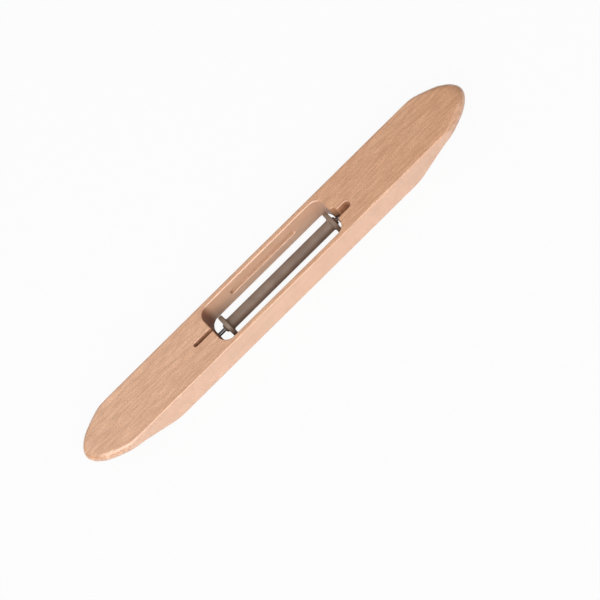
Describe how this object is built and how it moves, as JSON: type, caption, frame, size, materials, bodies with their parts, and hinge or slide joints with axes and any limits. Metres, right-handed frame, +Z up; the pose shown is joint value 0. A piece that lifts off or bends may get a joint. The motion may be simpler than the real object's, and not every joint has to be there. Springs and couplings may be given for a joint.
{
  "type": "boat shuttle",
  "caption": "Boat shuttle for hand weaving: wooden body with an open window, pointed upturned noses and a thread slot, and a flanged bobbin on a spindle that lifts out on a hinge pin.",
  "frame": {"origin": "on the flat base, midway between the two tips and between the side walls", "axes": "+X along the body towards the spindle's free end, +Y towards the wall with the thread slot, +Z up from the base to the open top"},
  "size_m": [0.381, 0.042, 0.0255],
  "materials": {
    "wood": "satin clear lacquer on beech",
    "rod_steel": "polished",
    "pin_steel": "satin",
    "bobbin_plastic": "satin, moulded"
  },
  "bodies": {
    "shuttle_body": {"shuttle_body": "wood", "hinge_pin": "pin_steel"},
    "spindle": {"spindle": "rod_steel"},
    "bobbin": {"bobbin": "bobbin_plastic"}
  },
  "joints": [
    {"name": "spindle_lift", "type": "hinge", "parent": "shuttle_body", "child": "spindle", "pos_m": [-0.0753, 0, 0.0107], "axis": [0, -1, 0], "range_deg": [0, 90]},
    {"name": "bobbin_spin", "type": "hinge", "parent": "spindle", "child": "bobbin", "pos_m": [0.0027, 0, 0.0107], "axis": [1, 0, 0], "continuous": true}
  ]
}
